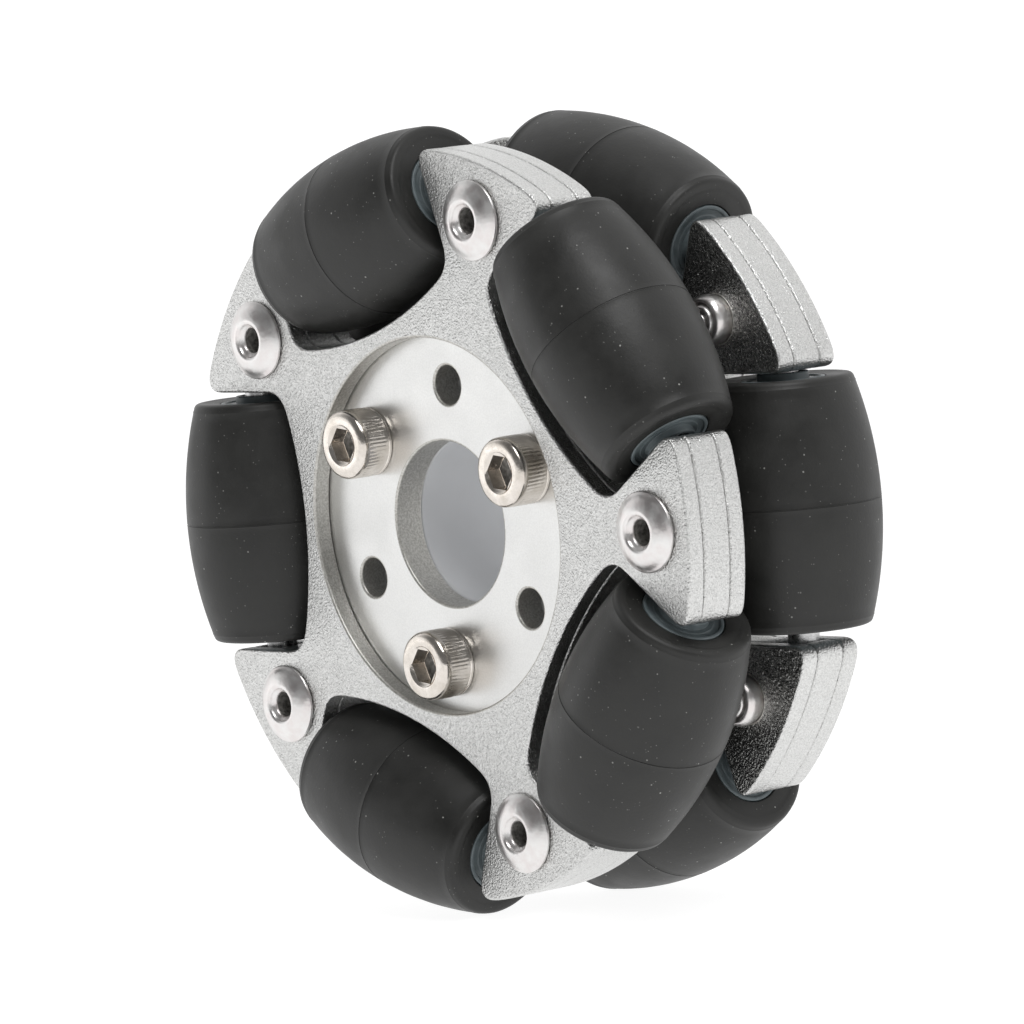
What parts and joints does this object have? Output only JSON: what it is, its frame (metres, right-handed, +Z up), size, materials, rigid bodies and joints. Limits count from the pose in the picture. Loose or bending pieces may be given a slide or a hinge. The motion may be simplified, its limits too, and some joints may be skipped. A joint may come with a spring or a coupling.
{
  "type": "double omni wheel",
  "caption": "Small two-row aluminium omni wheel: staggered rings of free-spinning black rubber barrel rollers between riveted star plates, screwed over a central spacer.",
  "frame": {"origin": "centre of the wheel, on its axle axis and half-way between the two rows", "axes": "+Y along the axle axis from the front face to the rear face, +Z up, +X to the right seen from the front; a front arm and its rivet point along +X"},
  "size_m": [0.06, 0.0256, 0.0602],
  "materials": {
    "blasted_aluminium": "bead blasted, fine sparkle",
    "smooth_aluminium": "smooth matt, rim edges blasted",
    "polished_aluminium": "bright pressed rivet",
    "nickel_steel": "bright nickel plate, knurled heads",
    "bright_steel": "drawn steel pin",
    "black_rubber": "matt moulded rubber with a fine parting line",
    "grey_nylon": "moulded nylon",
    "grey_plastic": "moulded, smooth bore"
  },
  "bodies": {
    "wheel_frame": {"front_outer_plate": "blasted_aluminium", "front_middle_plate": "smooth_aluminium", "front_inner_plate": "blasted_aluminium", "front_axle_pin_1": "bright_steel", "front_rivet_1": "polished_aluminium", "front_axle_pin_2": "bright_steel", "front_rivet_2": "polished_aluminium", "front_axle_pin_3": "bright_steel", "front_rivet_3": "polished_aluminium", "front_axle_pin_4": "bright_steel", "front_rivet_4": "polished_aluminium", "front_axle_pin_5": "bright_steel", "front_rivet_5": "polished_aluminium", "rear_outer_plate": "blasted_aluminium", "rear_middle_plate": "smooth_aluminium", "rear_inner_plate": "blasted_aluminium", "rear_axle_pin_1": "bright_steel", "rear_rivet_1": "polished_aluminium", "rear_axle_pin_2": "bright_steel", "rear_rivet_2": "polished_aluminium", "rear_axle_pin_3": "bright_steel", "rear_rivet_3": "polished_aluminium", "rear_axle_pin_4": "bright_steel", "rear_rivet_4": "polished_aluminium", "rear_axle_pin_5": "bright_steel", "rear_rivet_5": "polished_aluminium", "hub_spacer": "grey_plastic", "hub_screw_1": "nickel_steel", "hub_nut_1": "nickel_steel", "hub_screw_2": "nickel_steel", "hub_nut_2": "nickel_steel", "hub_screw_3": "nickel_steel", "hub_nut_3": "nickel_steel"},
    "front_roller_1": {"front_roller_tyre_1": "black_rubber", "front_roller_core_1": "grey_nylon"},
    "rear_roller_1": {"rear_roller_tyre_1": "black_rubber", "rear_roller_core_1": "grey_nylon"},
    "front_roller_2": {"front_roller_tyre_2": "black_rubber", "front_roller_core_2": "grey_nylon"},
    "rear_roller_2": {"rear_roller_tyre_2": "black_rubber", "rear_roller_core_2": "grey_nylon"},
    "front_roller_3": {"front_roller_tyre_3": "black_rubber", "front_roller_core_3": "grey_nylon"},
    "rear_roller_3": {"rear_roller_tyre_3": "black_rubber", "rear_roller_core_3": "grey_nylon"},
    "front_roller_4": {"front_roller_tyre_4": "black_rubber", "front_roller_core_4": "grey_nylon"},
    "rear_roller_4": {"rear_roller_tyre_4": "black_rubber", "rear_roller_core_4": "grey_nylon"},
    "front_roller_5": {"front_roller_tyre_5": "black_rubber", "front_roller_core_5": "grey_nylon"},
    "rear_roller_5": {"rear_roller_tyre_5": "black_rubber", "rear_roller_core_5": "grey_nylon"}
  },
  "joints": [
    {"name": "front_roller_1_spin", "type": "hinge", "parent": "wheel_frame", "child": "front_roller_1", "pos_m": [0.01893, -0.00625, 0.01375], "axis": [-0.5878, 0, 0.809], "continuous": true},
    {"name": "rear_roller_1_spin", "type": "hinge", "parent": "wheel_frame", "child": "rear_roller_1", "pos_m": [0.00723, 0.00625, 0.02225], "axis": [-0.9511, 0, 0.309], "continuous": true},
    {"name": "front_roller_2_spin", "type": "hinge", "parent": "wheel_frame", "child": "front_roller_2", "pos_m": [-0.00723, -0.00625, 0.02225], "axis": [-0.9511, 0, -0.309], "continuous": true},
    {"name": "rear_roller_2_spin", "type": "hinge", "parent": "wheel_frame", "child": "rear_roller_2", "pos_m": [0.0234, 0.00625, 0], "axis": [0, 0, 1], "continuous": true},
    {"name": "front_roller_3_spin", "type": "hinge", "parent": "wheel_frame", "child": "front_roller_3", "pos_m": [-0.0234, -0.00625, 0], "axis": [0, 0, -1], "continuous": true},
    {"name": "rear_roller_3_spin", "type": "hinge", "parent": "wheel_frame", "child": "rear_roller_3", "pos_m": [0.00723, 0.00625, -0.02225], "axis": [0.9511, 0, 0.309], "continuous": true},
    {"name": "front_roller_4_spin", "type": "hinge", "parent": "wheel_frame", "child": "front_roller_4", "pos_m": [-0.00723, -0.00625, -0.02225], "axis": [0.9511, 0, -0.309], "continuous": true},
    {"name": "rear_roller_4_spin", "type": "hinge", "parent": "wheel_frame", "child": "rear_roller_4", "pos_m": [-0.01893, 0.00625, -0.01375], "axis": [0.5878, 0, -0.809], "continuous": true},
    {"name": "front_roller_5_spin", "type": "hinge", "parent": "wheel_frame", "child": "front_roller_5", "pos_m": [0.01893, -0.00625, -0.01375], "axis": [0.5878, 0, 0.809], "continuous": true},
    {"name": "rear_roller_5_spin", "type": "hinge", "parent": "wheel_frame", "child": "rear_roller_5", "pos_m": [-0.01893, 0.00625, 0.01375], "axis": [-0.5878, 0, -0.809], "continuous": true}
  ]
}
